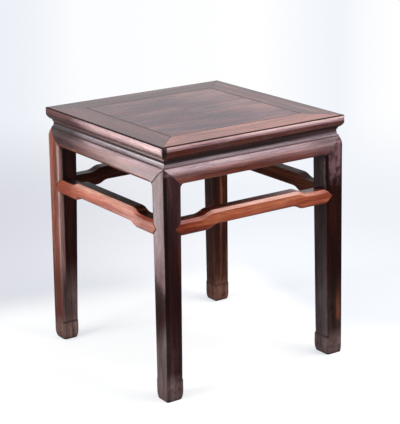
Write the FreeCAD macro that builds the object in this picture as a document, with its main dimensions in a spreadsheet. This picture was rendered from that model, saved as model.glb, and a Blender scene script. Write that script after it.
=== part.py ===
import FreeCAD, Part
import math
import os
import Sketcher

# A square waisted table in dark hardwood, put together without screws.
# Millimetres. The origin is on the floor under the middle of the top, +Z is up
# and the front is towards -Y. Every repeated piece is drawn in its front place,
# where "out" is the distance from the middle plane towards the front, and is
# then turned about the vertical axis.

DRIVING = [
    ("overall_side", 440.0, "side of the square top over its bead"),
    ("table_height", 510.0, "floor to top surface"),
    ("fit_gap", 0.15, "clearance on each side of a tenon or tongue"),
    # top frame
    ("frame_width", 63.0, "width of the mitred top rails"),
    ("frame_thickness", 29.0, "thickness of the top rails"),
    ("corner_round", 4.5, "rounding of the top's vertical corners"),
    ("arris_round", 4.0, "rounding of the top's upper edge"),
    ("bead_depth", 9.0, "upright part of the moulded edge"),
    ("ovolo_drop", 17.0, "height of the quarter round under it"),
    ("lip_setback", 10.5, "setback of the small lip under the quarter round"),
    ("frame_tenon_drop", 12.0, "top surface to the top of the corner tenon"),
    ("frame_tenon_thickness", 8.0, "thickness of the corner tenon"),
    ("frame_tenon_margin", 8.0, "wood left beyond the blind corner tenon"),
    ("frame_tenon_inset", 4.0, "inner edge of the rail to the corner tenon"),
    ("frame_tenon_width", 44.0, "width of the corner tenon"),
    # panel and battens
    ("panel_thickness", 12.0, "thickness of the floating board"),
    ("panel_seam", 0.3, "seam between the board and the rails"),
    ("tongue_drop", 5.0, "top surface to the top of the groove"),
    ("tongue_thickness", 5.2, "height of the groove for the tongue"),
    ("groove_reach", 7.0, "depth of the groove into the rails"),
    ("tongue_play", 1.0, "room left for the board to swell"),
    ("batten_spread", 78.0, "middle of the top to a batten"),
    ("batten_width", 28.0, "width of a batten"),
    ("batten_depth", 15.0, "height of a batten under the board"),
    ("dovetail_mouth", 20.0, "width of the dovetail at the board's underside"),
    ("dovetail_root", 23.0, "width of the dovetail inside the board"),
    ("dovetail_height", 3.0, "depth of the dovetail slot"),
    ("batten_tenon_width", 20.0, "width of a batten's end tenon"),
    ("batten_tenon_height", 8.0, "height of a batten's end tenon"),
    ("batten_tenon_length", 10.0, "length of a batten's end tenon"),
    ("batten_tenon_drop", 3.0, "board's underside to a batten's end tenon"),
    # waist
    ("waist_height", 15.0, "underside of the top rails to the aprons"),
    ("waist_setback", 12.2, "setback of the waist's upright band"),
    ("waist_band", 5.5, "height of the upright band"),
    ("shoulder_setback", 8.8, "setback of the shoulder's nose"),
    ("shoulder_nose", 2.2, "height of the shoulder's nose"),
    ("shoulder_sweep", 10.0, "radius of the hollow above the nose"),
    ("waist_inner_setback", 23.0, "setback of the waist's hidden side"),
    ("waist_tongue_setback", 16.0, "setback of the tongue on the waist"),
    ("waist_tongue_width", 4.0, "width of that tongue"),
    ("waist_tongue_height", 3.0, "height of that tongue"),
    ("waist_tongue_half", 168.0, "half the length of that tongue"),
    # aprons
    ("apron_depth", 34.0, "height of an apron"),
    ("apron_setback", 3.2, "setback of the apron's face"),
    ("apron_thickness", 22.0, "thickness of an apron"),
    ("apron_brow_setback", 7.75, "setback of the bulge's upper end"),
    ("apron_brow_drop", 1.0, "height of the small bevel above the bulge"),
    ("bulge_height", 17.0, "height of the bulge's curved part"),
    ("edge_round", 6.5, "rounding along the apron's edge and the leg's sides"),
    ("arch_round", 8.0, "curve from the apron's edge down into the leg"),
    ("cheek_thickness", 11.8, "thickness of the mitred cheek over the leg"),
    ("mitre_tip_setback", 7.0, "setback where the mitre meets the apron's top"),
    ("apron_tenon_length", 13.0, "length of the apron's tenon into the leg"),
    ("apron_tenon_thickness", 6.0, "thickness of that tenon"),
    ("apron_tenon_height", 14.0, "height of that tenon"),
    ("apron_tenon_drop", 4.0, "apron's top to that tenon"),
    ("apron_tenon_inset", 2.0, "apron's hidden side to that tenon"),
    # legs
    ("leg_width", 42.0, "width of a leg under the aprons"),
    ("shaft_setback", 24.0, "setback of the leg's shaft behind the waist"),
    ("leg_corner_round", 2.0, "rounding of a leg's outer corner"),
    ("leg_inner_round", 1.5, "rounding of a leg's inner corner"),
    ("foot_setback", 0.2, "setback of the foot's outer face"),
    ("ankle_width", 39.3, "width of a leg just above the hoof"),
    ("hoof_height", 43.0, "height of the hoof's step above the floor"),
    ("hoof_step", 1.4, "how far the hoof stands in from the ankle"),
    ("hoof_step_drop", 4.0, "height over which the hoof steps in"),
    ("slim_ankle_width", 36.8, "ankle of the one leg that was cut slimmer"),
    ("slim_hoof_step", 0.5, "hoof step of that leg"),
    ("toe_height", 20.0, "height over which a foot draws in to the floor"),
    ("toe_inner_round", 5.0, "how far a foot's inner faces draw in"),
    ("toe_outer_round", 1.8, "how far a foot's outer faces draw in"),
    ("slim_toe_outer_round", 5.5, "the same on the slimmer leg, which is worn rounder"),
    ("leg_tenon_inset", 3.0, "leg's inner face to its top tenons"),
    ("leg_tenon_width", 8.0, "width of a top tenon"),
    ("leg_tenon_thickness", 7.0, "thickness of a top tenon"),
    ("leg_tenon_outer_setback", 26.0, "setback of a top tenon's outer side"),
    ("long_tenon", 17.0, "length of the tenon into a long rail"),
    ("short_tenon", 7.5, "length of the tenon into a short rail"),
    ("blind_play", 0.5, "room left at the end of a blind mortise"),
    # humpback stretchers
    ("stretcher_drop", 149.3, "top surface to the stretcher's ends"),
    ("stretcher_height", 29.0, "height of a stretcher"),
    ("hump_rise", 8.2, "rise of the hump"),
    ("hump_upper_outer", 133.0, "middle to the foot of the upper rise"),
    ("hump_upper_inner", 101.0, "middle to the head of the upper rise"),
    ("hump_lower_outer", 120.0, "middle to the foot of the lower rise"),
    ("hump_lower_inner", 90.0, "middle to the head of the lower rise"),
    ("stretcher_setback", 2.0, "setback of a stretcher's face"),
    ("stretcher_thickness", 28.0, "thickness of a stretcher"),
    ("upper_bevel", 5.5, "bevel along a stretcher's upper outer edge"),
    ("lower_bevel", 4.0, "bevel along a stretcher's lower outer edge"),
    ("point_length", 16.0, "reach of the pointed shoulder over the leg"),
    ("point_bevel", 1.5, "bevel around the pointed shoulder"),
    ("point_thickness", 7.0, "thickness of the pointed shoulder"),
    ("stretcher_tenon_length", 17.5, "length of a stretcher's tenon"),
    ("stretcher_tenon_thickness", 12.0, "thickness of that tenon"),
    ("stretcher_tenon_height", 21.0, "height of that tenon"),
    ("stretcher_tenon_setback", 11.0, "setback of that tenon's outer side"),
]

TOUCH = 0.01  # points and lengths closer than this are taken as the same
TOE_STEPS = 5  # straight steps that make the quarter round of a foot


class Size:
    """A length that carries its number and its formula in the sheet's words."""

    def __init__(self, number, formula):
        self.number = number
        self.formula = formula

    def __add__(self, other):
        other = as_size(other)
        return Size(self.number + other.number, f"({self.formula} + {other.formula})")

    def __sub__(self, other):
        other = as_size(other)
        return Size(self.number - other.number, f"({self.formula} - {other.formula})")

    def __mul__(self, other):
        other = as_size(other)
        return Size(self.number * other.number, f"({self.formula} * {other.formula})")

    def __truediv__(self, other):
        other = as_size(other)
        return Size(self.number / other.number, f"({self.formula} / {other.formula})")

    def __neg__(self):
        return Size(-self.number, f"(0 - {self.formula})")


def as_size(value):
    if isinstance(value, Size):
        return value
    return Size(float(value), f"{float(value):.6f}")


os.makedirs("parts", exist_ok=True)
doc = FreeCAD.newDocument("SquareWaistedTable")
sheet = doc.addObject("Spreadsheet::Sheet", "Sizes")
sizes = {}
for row, (word, number, meaning) in enumerate(DRIVING, start=1):
    sheet.set(f"A{row}", meaning)
    sheet.set(f"B{row}", f"{number}")
    sheet.setAlias(f"B{row}", word)
    sizes[word] = Size(number, f"Sizes.{word}")
doc.recompute()


def cell(word):
    return sizes[word]


# Levels, from the top surface down to the floor.
top = cell("table_height")
frame_bottom = top - cell("frame_thickness")
apron_top = frame_bottom - cell("waist_height")
brow = apron_top - cell("apron_brow_drop")
bulge_foot = brow - cell("bulge_height")
apron_bottom = apron_top - cell("apron_depth")
arch_foot = apron_bottom - cell("arch_round")
stretcher_top = top - cell("stretcher_drop")
stretcher_bottom = stretcher_top - cell("stretcher_height")
stretcher_middle = (stretcher_top + stretcher_bottom) / 2
groove_top = top - cell("tongue_drop")
groove_low = groove_top - cell("tongue_thickness")
frame_tenon_top = top - cell("frame_tenon_drop")
frame_tenon_low = frame_tenon_top - cell("frame_tenon_thickness")
panel_low = top - cell("panel_thickness")
batten_tenon_top = panel_low - cell("batten_tenon_drop")
stub_top = apron_bottom + cell("arch_round") * 2

# Working lengths: how far a cutting outline reaches past the wood, and how far
# back inside its own piece a tenon starts.
spare = cell("apron_thickness") / 2
root = spare / 4

# Distances out from the middle planes.
gap = cell("fit_gap")
half = cell("overall_side") / 2
frame_inner = half - cell("frame_width")
groove_deep = frame_inner + cell("groove_reach")
lip_out = half - cell("lip_setback")
waist_out = half - cell("waist_setback")
nose_out = half - cell("shoulder_setback")
waist_inner = half - cell("waist_inner_setback")
waist_tongue_out = half - cell("waist_tongue_setback")
apron_face = half - cell("apron_setback")
apron_inner = apron_face - cell("apron_thickness")
brow_out = half - cell("apron_brow_setback")
leg_inner = apron_face - cell("leg_width")
cheek_inner = apron_face - cell("cheek_thickness")
shaft_out = half - cell("shaft_setback")
stub_end = leg_inner - cell("arch_round") * 2
foot_out = half - cell("foot_setback")
ankle_in = foot_out - cell("ankle_width")
stretcher_face = half - cell("stretcher_setback")
stretcher_inner = stretcher_face - cell("stretcher_thickness")
point_back = stretcher_face - cell("point_thickness")
tenon_inner = leg_inner + cell("leg_tenon_inset")
tenon_outer = half - cell("leg_tenon_outer_setback")


def arc_radius(sideways, along):
    """Radius of an arc that starts along one direction and drifts sideways."""
    return (sideways * sideways + along * along) / (sideways * 2)


def mitre_level(out):
    """Height of the mitre between apron and leg at a distance out."""
    run = half - cell("mitre_tip_setback") - leg_inner
    return apron_bottom + (out - leg_inner) * cell("apron_depth") / run


def leg_inner_at(level):
    """The leg's inner face leans out slightly towards the ankle."""
    lean = (ankle_in - leg_inner) / (arch_foot - cell("hoof_height"))
    return leg_inner + (arch_foot - level) * lean


def leg_outer_at(level):
    """The outer faces lean out to the floor as well."""
    return apron_face + (foot_out - apron_face) * (arch_foot - level) / arch_foot


bulge_radius = arc_radius(cell("apron_brow_setback") - cell("apron_setback"), cell("bulge_height"))
point_tip = leg_inner_at(stretcher_middle) + cell("point_length")


def new_body(name, turn):
    body = doc.addObject("PartDesign::Body", name)
    body.Label = name
    upright = FreeCAD.Vector(0, 0, 1)
    body.Placement = FreeCAD.Placement(FreeCAD.Vector(), FreeCAD.Rotation(upright, turn))
    return body


def bind(thing, path, size):
    thing.setExpression(path, as_size(size).formula)


def draw_loop(sketch, points):
    """Draws a closed loop. A point is (x, y), or (x, y, radius, side) where an arc
    ends at it, with side +1 if the arc turns left and -1 if it turns right. Each
    corner is tied to its distances from the sketch's origin, each arc to its radius."""
    rules = []
    ends = []
    loop = list(points) + [points[0][:2]]
    for first, last in zip(loop, loop[1:]):
        start = FreeCAD.Vector(as_size(first[0]).number, as_size(first[1]).number, 0)
        stop = FreeCAD.Vector(as_size(last[0]).number, as_size(last[1]).number, 0)
        if len(last) == 2:
            index = sketch.addGeometry(Part.LineSegment(start, stop), False)
        else:
            radius = as_size(last[2])
            chord = stop - start
            left = FreeCAD.Vector(-chord.y, chord.x, 0).normalize() * last[3]
            rest = (radius.number**2 - (chord.Length / 2) ** 2) ** 0.5
            centre = (start + stop) / 2 + left * rest
            middle = centre - left * radius.number
            index = sketch.addGeometry(Part.Arc(start, middle, stop), False)
            rules.append((Sketcher.Constraint("Radius", index, radius.number), radius))
        head = 1 if sketch.getPoint(index, 1).distanceToPoint(start) < TOUCH else 2
        for kind, size in (("DistanceX", as_size(first[0])), ("DistanceY", as_size(first[1]))):
            rules.append((Sketcher.Constraint(kind, -1, 1, index, head, size.number), size))
        ends.append((index, head))
    for (index, head), (following, lead) in zip(ends, ends[1:] + ends[:1]):
        rules.append((Sketcher.Constraint("Coincident", index, 3 - head, following, lead), None))
    numbers = sketch.addConstraint([rule for rule, size in rules])
    for number, (rule, size) in zip(numbers, rules):
        if size is not None:
            bind(sketch, f"Constraints[{number}]", size)


def add_sketch(body, role, offset, loops):
    """A sketch on one of the body's own planes, moved along the plane's normal."""
    count = sum(1 for thing in body.Group if thing.TypeId == "Sketcher::SketchObject")
    sketch = body.newObject("Sketcher::SketchObject", f"{body.Label}_outline_{count + 1}")
    plane = next(p for p in body.Origin.OriginFeatures if p.Role == role)
    sketch.AttachmentSupport = [(plane, "")]
    sketch.MapMode = "FlatFace"
    bind(sketch, "AttachmentOffset.Base.z", offset)
    for points in loops:
        draw_loop(sketch, points)
    return sketch


def add_wood(body, sketch, length, side="One side"):
    before = body.Shape.Volume if body.Tip else 0.0
    pad = body.newObject("PartDesign::Pad", f"{body.Label}_pad_{len(body.Group)}")
    pad.Profile = sketch
    pad.SideType = side
    bind(pad, "Length", length)
    doc.recompute()
    if body.Shape.Volume <= before:
        raise RuntimeError(f"{pad.Name} adds nothing")
    return pad


def cut_wood(body, sketch, length, side="One side", up=False):
    before = body.Shape.Volume
    pocket = body.newObject("PartDesign::Pocket", f"{body.Label}_cut_{len(body.Group)}")
    pocket.Profile = sketch
    pocket.SideType = side
    pocket.Reversed = up
    bind(pocket, "Length", length)
    doc.recompute()
    if not 0 < body.Shape.Volume < before:
        raise RuntimeError(f"{pocket.Name} cuts nothing")
    return pocket


def soften(body, kind, size, wanted):
    """Rounds or bevels the edges whose every sampled point passes the test."""
    base = body.Tip
    names = []
    for number, edge in enumerate(base.Shape.Edges, start=1):
        if all(wanted(point) for point in edge.discretize(9)):
            names.append(f"Edge{number}")
    if not names:
        raise RuntimeError(f"{body.Label} has no edge to soften")
    feature = body.newObject(f"PartDesign::{kind}", f"{body.Label}_{kind}_{len(body.Group)}")
    feature.Base = (base, names)
    bind(feature, "Radius" if kind == "Fillet" else "Size", size)
    doc.recompute()
    if feature.Shape.isNull() or abs(feature.Shape.Volume - base.Shape.Volume) < TOUCH:
        raise RuntimeError(f"{feature.Name} changes nothing")
    return feature


def section(points):
    """Turns (out, level) into the coordinates of a sketch on the YZ plane."""
    flipped = []
    for out, level, *arc in points:
        if arc:
            arc = (arc[0], -arc[1])
        flipped.append((-as_size(out), level, *arc))
    return flipped


def plan(points):
    """Turns (sideways, out) into the coordinates of a sketch on the XY plane."""
    return [(sideways, -as_size(out)) for sideways, out in points]


def box_loop(low_x, high_x, low_y, high_y):
    return [(low_x, low_y), (high_x, low_y), (high_x, high_y), (low_x, high_y)]


def both_ends(points):
    """The loop at the right end and its mirror image at the left end."""
    mirrored = [(-as_size(point[0]),) + tuple(point[1:]) for point in points]
    return [points, mirrored]


def trim_mitres(body, inner):
    """Cuts both ends along the plan diagonals."""
    near = inner - spare
    far = half + spare
    wedge = [(near, near), (far, far), (far + spare, far), (far + spare, near)]
    loops = [plan(points) for points in both_ends(wedge)]
    cut_wood(body, add_sketch(body, "XY_Plane", top + spare, loops), top + spare * 2)


def frame_rail(name, turn, tenoned):
    """A top rail: moulded outside, grooved inside, mitred, with its corner joint."""
    body = new_body(name, turn)
    moulding = [
        (frame_inner, top),
        (half - cell("arris_round"), top),
        (half, top - cell("arris_round"), cell("arris_round"), -1),
        (half, top - cell("bead_depth")),
        (
            lip_out,
            top - cell("bead_depth") - cell("ovolo_drop"),
            arc_radius(cell("lip_setback"), cell("ovolo_drop")),
            -1,
        ),
        (lip_out, frame_bottom),
        (frame_inner, frame_bottom),
        (frame_inner, groove_low),
        (groove_deep, groove_low),
        (groove_deep, groove_top),
        (frame_inner, groove_top),
    ]
    add_wood(body, add_sketch(body, "YZ_Plane", 0, [section(moulding)]), half * 2, "Symmetric")

    # The plan: a mitred rail whose outer corners are rounded.
    rounding = cell("corner_round")
    straight = half - rounding
    tip = half - rounding * (1 - 0.5**0.5)
    outline = [
        (-frame_inner, -frame_inner),
        (frame_inner, -frame_inner),
        (tip, -tip),
        (straight, -half, rounding, -1),
        (-straight, -half),
        (-tip, -tip, rounding, -1),
    ]
    around = box_loop(-half - spare, half + spare, -half - spare, -frame_inner + spare)
    cut_wood(body, add_sketch(body, "XY_Plane", top + spare, [around, outline]), top)

    inner = frame_inner + cell("frame_tenon_inset")
    outer = inner + cell("frame_tenon_width")
    reach = half - cell("frame_tenon_margin")
    if tenoned:
        tongue = [(inner - root, inner), (reach, inner), (reach, outer), (outer - root, outer)]
        loops = [plan(points) for points in both_ends(tongue)]
        add_wood(body, add_sketch(body, "XY_Plane", frame_tenon_low, loops), cell("frame_tenon_thickness"))
    else:
        slot = [
            (inner - gap, inner - root * 2),
            (inner - gap, reach + gap),
            (outer + gap, reach + gap),
            (outer + gap, outer - root * 2),
        ]
        loops = [plan(points) for points in both_ends(slot)]
        sketch = add_sketch(body, "XY_Plane", frame_tenon_top + gap, loops)
        cut_wood(body, sketch, cell("frame_tenon_thickness") + gap * 2)

    # Mortises for the legs' top tenons and a groove for the waist's tongue.
    near = tenon_inner - gap
    far = tenon_inner + cell("leg_tenon_width") + gap
    back = tenon_outer - cell("leg_tenon_thickness") - gap
    face = tenon_outer + gap
    side = [(near, back), (far, back), (far, face), (near, face)]
    depth = (cell("long_tenon") if tenoned else cell("short_tenon")) + cell("blind_play")
    loops = [plan(points) for points in both_ends(side)]
    cut_wood(body, add_sketch(body, "XY_Plane", frame_bottom, loops), depth, up=True)
    length = cell("waist_tongue_half") + gap
    groove = box_loop(
        -length,
        length,
        -waist_tongue_out - gap,
        -waist_tongue_out + cell("waist_tongue_width") + gap,
    )
    sketch = add_sketch(body, "XY_Plane", frame_bottom, [groove])
    cut_wood(body, sketch, cell("waist_tongue_height") + gap, up=True)

    if tenoned:
        # Mortises for the battens' end tenons.
        loops = []
        for way in (-1, 1):
            middle = cell("batten_spread") * way
            reach_x = cell("batten_tenon_width") / 2 + gap
            far = frame_inner + cell("batten_tenon_length") + cell("blind_play")
            loops.append(box_loop(middle - reach_x, middle + reach_x, -far, -frame_inner + root))
        sketch = add_sketch(body, "XY_Plane", batten_tenon_top + gap, loops)
        cut_wood(body, sketch, cell("batten_tenon_height") + gap * 2)
    return body


def dovetail(slack):
    """The batten's dovetail, or the slot for it where slack is zero."""
    mouth = cell("dovetail_mouth") / 2 - slack
    root = cell("dovetail_root") / 2 - slack
    height = panel_low + cell("dovetail_height") - slack
    return mouth, root, height


def panel_board():
    """The floating board, flush with the rails, with a tongue on all four sides."""
    body = new_body("panel_board", 0)
    edge = frame_inner - cell("panel_seam")
    board = add_sketch(body, "XY_Plane", panel_low, [box_loop(-edge, edge, -edge, edge)])
    add_wood(body, board, cell("panel_thickness"))
    edge = groove_deep - cell("tongue_play")
    tongue = add_sketch(body, "XY_Plane", groove_low + gap / 2, [box_loop(-edge, edge, -edge, edge)])
    add_wood(body, tongue, cell("tongue_thickness") - gap)
    mouth, root, height = dovetail(as_size(0))
    loops = []
    for way in (-1, 1):
        middle = cell("batten_spread") * way
        loops.append(
            [
                (middle - mouth, panel_low),
                (middle - mouth, panel_low - root),
                (middle + mouth, panel_low - root),
                (middle + mouth, panel_low),
                (middle + root, height),
                (middle - root, height),
            ]
        )
    cut_wood(body, add_sketch(body, "XZ_Plane", 0, loops), half * 2, "Symmetric")
    return body


def panel_batten(name, way):
    """A batten that slides across under the board and is tenoned into the long rails."""
    body = new_body(name, 0)
    mouth, root, height = dovetail(gap)
    wide = cell("batten_width") / 2
    low = panel_low - cell("batten_depth")
    outline = [
        (-wide, low),
        (wide, low),
        (wide, panel_low),
        (mouth, panel_low),
        (root, height),
        (-root, height),
        (-mouth, panel_low),
        (-wide, panel_low),
    ]
    add_wood(body, add_sketch(body, "XZ_Plane", 0, [outline]), (frame_inner - gap) * 2, "Symmetric")
    tenon = cell("batten_tenon_width") / 2
    far = frame_inner + cell("batten_tenon_length")
    near = frame_inner - root
    loops = [box_loop(-tenon, tenon, -far, -near), box_loop(-tenon, tenon, near, far)]
    sketch = add_sketch(body, "XY_Plane", batten_tenon_top - cell("batten_tenon_height"), loops)
    add_wood(body, sketch, cell("batten_tenon_height"))
    bind(body, "Placement.Base.x", cell("batten_spread") * way)
    return body


def waist_strip(name, turn):
    """A waist strip: an upright band above a hollow that sweeps out to a nose."""
    body = new_body(name, turn)
    outline = [
        (waist_inner, apron_top),
        (waist_inner, frame_bottom),
        (waist_out, frame_bottom),
        (waist_out, frame_bottom - cell("waist_band")),
        (nose_out, apron_top + cell("shoulder_nose"), cell("shoulder_sweep"), 1),
        (nose_out, apron_top),
    ]
    add_wood(body, add_sketch(body, "YZ_Plane", 0, [section(outline)]), half * 2, "Symmetric")
    trim_mitres(body, waist_inner)
    length = cell("waist_tongue_half")
    tongue = box_loop(-length, length, -waist_tongue_out, -waist_tongue_out + cell("waist_tongue_width"))
    sketch = add_sketch(body, "XY_Plane", frame_bottom - root, [tongue])
    add_wood(body, sketch, cell("waist_tongue_height") + root)
    return body


def apron(name, turn):
    """A bulging apron with mitred cheeks that lie over the legs' shafts."""
    body = new_body(name, turn)
    low = arch_foot - spare
    turn_in = leg_inner - cell("arch_round")
    outline = [
        (-apron_face, low),
        (-leg_inner, low),
        (-leg_inner, arch_foot),
        (-turn_in, apron_bottom, cell("arch_round"), -1),
        (turn_in, apron_bottom),
        (leg_inner, arch_foot, cell("arch_round"), -1),
        (leg_inner, low),
        (apron_face, low),
        (apron_face, apron_top),
        (-apron_face, apron_top),
    ]
    blank = add_sketch(body, "XZ_Plane", apron_inner, [outline])
    add_wood(body, blank, cell("apron_thickness"))
    above = apron_top + spare
    bulge = [
        (nose_out, apron_top),
        (brow_out, brow),
        (apron_face, bulge_foot, bulge_radius, -1),
        (apron_face + spare, bulge_foot),
        (apron_face + spare, above),
        (nose_out, above),
    ]
    cut_wood(body, add_sketch(body, "YZ_Plane", 0, [section(bulge)]), half * 2 + spare, "Symmetric")

    face = apron_face.number
    side = leg_inner.number
    floor = low.number
    level = apron_bottom.number

    def along_the_arch(point):
        on_face = abs(-point.y - face) < TOUCH
        return on_face and abs(point.x) < side + TOUCH and point.z < level + TOUCH

    def not_the_lower_end(point):
        return along_the_arch(point) and (point.z > floor + TOUCH or abs(point.x) > side - TOUCH)

    soften(body, "Fillet", cell("edge_round"), not_the_lower_end)

    # The wood below the mitres belongs to the legs.
    near = leg_inner - spare
    far = apron_face + spare
    below = [(near, mitre_level(near)), (far, mitre_level(far)), (far, low - spare), (near, low - spare)]
    sketch = add_sketch(body, "XZ_Plane", apron_face + spare, both_ends(below))
    cut_wood(body, sketch, cell("apron_thickness") + spare * 2)
    # Over the leg only the cheek is left.
    behind = box_loop(leg_inner, far, apron_bottom - spare, apron_top + spare)
    sketch = add_sketch(body, "XZ_Plane", cheek_inner, both_ends(behind))
    cut_wood(body, sketch, cell("apron_thickness"))
    trim_mitres(body, apron_inner)

    inner = apron_inner + cell("apron_tenon_inset")
    outer = inner + cell("apron_tenon_thickness")
    end = leg_inner + cell("apron_tenon_length")
    tenon = [(leg_inner - root, inner), (end, inner), (end, outer), (leg_inner - root, outer)]
    tenon_low = apron_top - cell("apron_tenon_drop") - cell("apron_tenon_height")
    loops = [plan(points) for points in both_ends(tenon)]
    add_wood(body, add_sketch(body, "XY_Plane", tenon_low, loops), cell("apron_tenon_height"))
    return body


def rounded_square(inner, outer):
    """Plan of a leg, from its inner to its outer faces, as (x, y) with y negative."""
    small = cell("leg_inner_round")
    side = cell("edge_round")
    corner = cell("leg_corner_round")
    return [
        (inner + small, -inner),
        (inner, -(inner + small), small, 1),
        (inner, -(outer - side)),
        (inner + side, -outer, side, 1),
        (outer - corner, -outer),
        (outer, -(outer - corner), corner, 1),
        (outer, -(inner + side)),
        (outer - side, -inner, side, 1),
    ]


def leg(name, turn, ankle_width, hoof_step, toe_outer_round):
    """The right-hand leg of the front: shoulder, shaft, tenons, taper and hoof."""
    body = new_body(name, turn)
    shoulder = [
        (leg_inner, frame_bottom),
        (leg_inner, stub_top),
        (stub_end, stub_top),
        (stub_end, apron_bottom),
        (leg_inner - cell("arch_round"), apron_bottom),
        (leg_inner, arch_foot, cell("arch_round"), -1),
        (apron_face, arch_foot),
        (apron_face, bulge_foot),
        (brow_out, brow, bulge_radius, 1),
        (nose_out, apron_top),
        (shaft_out, apron_top),
        (shaft_out, frame_bottom),
    ]
    blank = add_sketch(body, "XZ_Plane", stub_end, [shoulder])
    add_wood(body, blank, apron_face - stub_end)
    around = box_loop(stub_end - spare, half + spare, arch_foot - spare, top)
    sketch = add_sketch(body, "YZ_Plane", 0, [section(around), section(shoulder)])
    cut_wood(body, sketch, half * 2, "Symmetric")

    face = apron_face.number
    inside = leg_inner.number + TOUCH
    level = apron_bottom.number + TOUCH

    def beside_the_arch(point):
        front = abs(-point.y - face) < TOUCH and point.x < inside and point.z < level
        right = abs(point.x - face) < TOUCH and -point.y < inside and point.z < level
        return front or right

    def outer_corner(point):
        return abs(point.x + point.y) < TOUCH and point.x > brow_out.number - TOUCH

    soften(body, "Fillet", cell("edge_round"), beside_the_arch)
    soften(body, "Fillet", cell("leg_corner_round"), outer_corner)

    # The mitres: outside the shaft, everything above them belongs to the aprons.
    core = cheek_inner - gap
    near = stub_end - spare
    far = half + spare
    above = [(near, mitre_level(near)), (far, mitre_level(far)), (far, top), (near, top)]
    cut_wood(body, add_sketch(body, "XZ_Plane", far, [above]), far - core)
    cut_wood(body, add_sketch(body, "YZ_Plane", far, [section(above)]), far - core)
    beside = [(near, mitre_level(near)), (leg_inner, apron_bottom), (leg_inner, top), (near, top)]
    cut_wood(body, add_sketch(body, "XZ_Plane", 0, [beside]), far * 2, "Symmetric")
    cut_wood(body, add_sketch(body, "YZ_Plane", 0, [section(beside)]), far * 2, "Symmetric")

    # The tapering leg and its hoof, through sections from the shoulder to the floor.
    # The foot draws in to the floor in a quarter round.
    step = cell("hoof_height")
    step_foot = step - cell("hoof_step_drop")
    ankle = foot_out - ankle_width
    hoof = ankle - hoof_step
    stations = [
        (arch_foot, leg_inner, apron_face),
        (stretcher_bottom, leg_inner_at(stretcher_bottom), leg_outer_at(stretcher_bottom)),
        (step, ankle, leg_outer_at(step)),
        (step_foot, hoof, leg_outer_at(step_foot)),
    ]
    for count in range(TOE_STEPS + 1):
        angle = math.pi / 2 * count / TOE_STEPS
        height = cell("toe_height") * (1 - math.sin(angle))
        inner = hoof + cell("toe_inner_round") * (1 - math.cos(angle))
        outer = leg_outer_at(height) - toe_outer_round * (1 - math.cos(angle))
        stations.append((height, inner, outer))
    outlines = []
    for height, inner, outer in stations:
        loop = rounded_square(inner, outer)
        outlines.append(add_sketch(body, "XY_Plane", height, [loop]))
    before = body.Shape.Volume
    shank = body.newObject("PartDesign::AdditiveLoft", f"{name}_shank")
    shank.Profile = outlines[0]
    shank.Sections = outlines[1:]
    shank.Ruled = True
    doc.recompute()
    if body.Shape.Volume < before * 3:
        raise RuntimeError("the leg's lower part is missing")

    # Top tenons: the long one for the long rail, the short one for the short rail.
    along = (tenon_inner, tenon_inner + cell("leg_tenon_width"))
    across = (tenon_outer - cell("leg_tenon_thickness"), tenon_outer)
    long_loop = box_loop(along[0], along[1], -across[1], -across[0])
    short_loop = box_loop(across[0], across[1], -along[1], -along[0])
    start = frame_bottom - root
    add_wood(body, add_sketch(body, "XY_Plane", start, [long_loop]), cell("long_tenon") + root)
    add_wood(body, add_sketch(body, "XY_Plane", start, [short_loop]), cell("short_tenon") + root)

    # Mortises for the two aprons.
    inner = apron_inner + cell("apron_tenon_inset") - gap
    outer = inner + cell("apron_tenon_thickness") + gap * 2
    end = leg_inner + cell("apron_tenon_length") + cell("blind_play")
    level = apron_top - cell("apron_tenon_drop") + gap
    for loop in (
        box_loop(leg_inner - root, end, -outer, -inner),
        box_loop(inner, outer, -end, -leg_inner + root),
    ):
        cut_wood(body, add_sketch(body, "XY_Plane", level, [loop]), cell("apron_tenon_height") + gap * 2)

    # Mortises for the two stretchers, and the shallow housings for their points.
    outer = half - cell("stretcher_tenon_setback") + gap
    inner = outer - cell("stretcher_tenon_thickness") - gap * 2
    end = leg_inner_at(stretcher_middle) + cell("stretcher_tenon_length") + cell("blind_play")
    level = stretcher_middle + cell("stretcher_tenon_height") / 2 + gap
    for loop in (
        box_loop(leg_inner - root, end, -outer, -inner),
        box_loop(inner, outer, -end, -leg_inner + root),
    ):
        cut_wood(body, add_sketch(body, "XY_Plane", level, [loop]), cell("stretcher_tenon_height") + gap * 2)
    housing = [
        (leg_inner - root, stretcher_bottom - gap),
        (leg_inner_at(stretcher_bottom) + gap, stretcher_bottom - gap),
        (point_tip + gap * 1.5, stretcher_middle),
        (leg_inner_at(stretcher_top) + gap, stretcher_top + gap),
        (leg_inner - root, stretcher_top + gap),
    ]
    floor_out = point_back - gap
    cut_wood(body, add_sketch(body, "XZ_Plane", far, [housing]), far - floor_out)
    cut_wood(body, add_sketch(body, "YZ_Plane", far, [section(housing)]), far - floor_out)
    return body


def rise_radius(outer, inner):
    """Radius of the two arcs that make one rise of the hump."""
    return arc_radius(cell("hump_rise") / 2, (outer - inner) / 2)


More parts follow.
